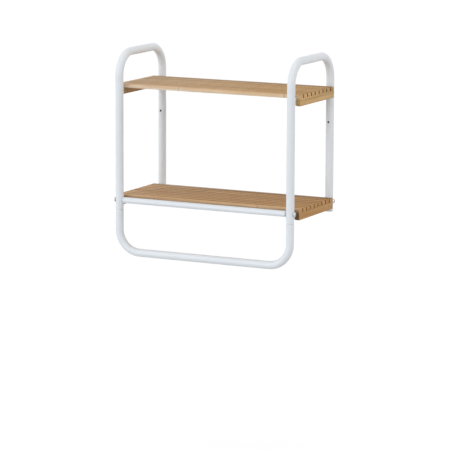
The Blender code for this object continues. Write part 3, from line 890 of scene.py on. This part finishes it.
def cleat(shelf_name, side_name, side, seed):
    """Batten on edge with rounded lower corners and pilot holes."""
    node = f"{shelf_name}_cleat_{side_name}"
    low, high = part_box(node)
    top_z = SHELF_TOPS[shelf_name] - SLAT_HEIGHT
    corners = ((low.y, low.z), (high.y, low.z), (high.y, top_z), (low.y, top_z))
    outline = rounded_outline(corners, (CLEAT_CORNER_RADIUS, CLEAT_CORNER_RADIUS, 0, 0))
    board = link(f"{node}_board", plate(node, outline, low.x, high.x, CLEAT_EDGE))
    inner_x = side * min(abs(low.x), abs(high.x))
    middle_z = SHELF_TOPS[shelf_name] - CLEAT_MIDDLE_DROP
    tools = [rod(f"{end_name}_pilot", SCREW_HOLE_RADIUS, 2 * SCREW_BITE,
                 (inner_x, MIDDLE_Y + facing * BRACKET_HOLE_REACH, middle_z), (1, 0, 0))
             for end_name, _, facing in ENDS]
    carve(board, tools)

    # Painted light and shade for each face: the ends, the lit outer face and the shaded inner face
    def tint(normal, place):
        if abs(normal.y) > CLEAT_FACING:
            return CLEAT_END_PAINTED_LIGHT_AND_SHADE[shelf_name]
        if normal.x * side > CLEAT_FACING:
            return from_front(OUTER_END_PAINTED_LIGHT[shelf_name], place)
        return INNER_FACE_PAINTED_SHADE[shelf_name]

    mark_wood(board, seed, tint)
    dress(board, CLEAT_WOOD, node)


def slat_seed(shelf_index, index):
    return (SLAT_SEED + SLAT_SEED_STEP * (index + SLAT_COUNT * shelf_index)) % 1


def cleat_seed(shelf_index, side):
    return (CLEAT_SEED + CLEAT_SEED_SIDE_STEP * side + CLEAT_SEED_SHELF_STEP * shelf_index) % 1


def build_rack():
    towel_rail()
    for end_name, end_y, _ in ENDS:
        crossbar(end_name, end_y)
    for side_name, side in SIDES:
        side_frame(side_name, side)
        leg_cap(side_name, side)
        for end_name, end_y, _ in ENDS:
            place_name = f"{end_name}_{side_name}"
            saddle_washer(place_name, side, end_y)
            frame_bolt(place_name, side, end_y)
            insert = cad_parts[f"threaded_insert_{place_name}"]
            insert.data.materials.clear()
            insert.data.materials.append(ZINC)
    for shelf_index, shelf_name in enumerate(SHELF_TOPS):
        for index in range(SLAT_COUNT):
            slat(shelf_name, index, slat_seed(shelf_index, index))
        for side_name, side in SIDES:
            cleat(shelf_name, side_name, side, cleat_seed(shelf_index, side))
            for end_name, _, _ in ENDS:
                shelf_screw(shelf_name, f"{end_name}_{side_name}", side)


# Stage, light and camera

FLOOR_Z = -0.80
FLOOR_REACH = 30.0
FLOOR_LIFT = 0.47
WORLD_LIGHT = 0.56

# Name, azimuth, elevation and spread in degrees, strength, colour
LIGHTS = (
    ("key", -34, 15, 40, 1.20, (0.93, 1.0, 1.07)),
    ("side", 88, 15, 60, 0.80, (1.02, 1.0, 1.0)),
    ("top", 0, 86, 60, 0.36, (1.0, 1.0, 0.98)),
)

# Angles in degrees, distances in metres, lens and sensor in millimetres
CAMERA_AZIMUTH = 26.46
CAMERA_ELEVATION = 9.79
CAMERA_ROLL = 0.23
CAMERA_DISTANCE = 6.0185
CAMERA_LENS = 215.62
CAMERA_SENSOR = 36.0
CAMERA_CLIP_END = 100.0
CAMERA_TARGET = Vector((0.0019, -0.111, -0.2338))


def direction(azimuth, elevation):
    """Direction away from the rack at angles in degrees."""
    a, e = math.radians(azimuth), math.radians(elevation)
    return Vector((math.sin(a) * math.cos(e), -math.cos(a) * math.cos(e), math.sin(e)))


def floor():
    """Wide pale floor that shows white and keeps the rack's shadow."""
    mesh = bpy.data.meshes.new("floor")
    corners = [(x * FLOOR_REACH, y * FLOOR_REACH, FLOOR_Z)
               for x, y in ((-1, -1), (1, -1), (1, 1), (-1, 1))]
    mesh.from_pydata(corners, [], [(0, 1, 2, 3)])
    piece = link("floor", mesh)
    s = Shade("floor_paint")
    s.finish(Base_Color=FLOOR_PAINT, Roughness=0.9, Specular_IOR_Level=0.0)
    path = s.node("LightPath")
    seen = s.maths("MAXIMUM", path.outputs["Is Camera Ray"], path.outputs["Is Glossy Ray"])
    lift = s.node("Emission", Color=(1, 1, 1, 1), Strength=s.times(seen, FLOOR_LIFT))
    total = s.node("AddShader")
    s.feed(total.inputs[0], s.shader.outputs[0])
    s.feed(total.inputs[1], lift.outputs[0])
    s.feed(s.tree.nodes["Material Output"].inputs["Surface"], total.outputs[0])
    mesh.materials.append(s.material)


def world_light():
    """Even pale light all round, shown as plain white to the camera and in gloss."""
    world = bpy.data.worlds.new("studio")
    bpy.context.scene.world = world
    world.use_nodes = True
    tree = world.node_tree
    background = tree.nodes["Background"]
    path = tree.nodes.new("ShaderNodeLightPath")
    seen = tree.nodes.new("ShaderNodeMath")
    seen.operation = "MAXIMUM"
    tree.links.new(path.outputs["Is Camera Ray"], seen.inputs[0])
    tree.links.new(path.outputs["Is Glossy Ray"], seen.inputs[1])
    strength = tree.nodes.new("ShaderNodeMapRange")
    tree.links.new(seen.outputs[0], strength.inputs["Value"])
    strength.inputs["To Min"].default_value = WORLD_LIGHT
    strength.inputs["To Max"].default_value = 1.0
    tree.links.new(strength.outputs[0], background.inputs["Strength"])
    background.inputs["Color"].default_value = (1, 1, 1, 1)


def soft_light(name, azimuth, elevation, spread, strength, colour):
    """Wide, even light from a direction as seen from the rack."""
    lamp = bpy.data.lights.new(name, "SUN")
    lamp.energy = strength
    lamp.angle = math.radians(spread)
    lamp.color = colour
    item = link(name, lamp)
    item.rotation_mode = "QUATERNION"
    item.rotation_quaternion = (-direction(azimuth, elevation)).to_track_quat("-Z", "Y")


def camera():
    back = direction(CAMERA_AZIMUTH, CAMERA_ELEVATION)
    data = bpy.data.cameras.new("camera")
    data.sensor_width = CAMERA_SENSOR
    data.lens = CAMERA_LENS
    data.clip_end = CAMERA_CLIP_END
    item = link("camera", data)
    item.location = CAMERA_TARGET + back * CAMERA_DISTANCE
    item.rotation_mode = "QUATERNION"
    roll = Matrix.Rotation(math.radians(CAMERA_ROLL), 3, "Z").to_quaternion()
    item.rotation_quaternion = (-back).to_track_quat("-Z", "Y") @ roll
    bpy.context.scene.camera = item


build_rack()
floor()
world_light()
for light in LIGHTS:
    soft_light(*light)
camera()
bpy.context.scene.view_settings.view_transform = "Standard"
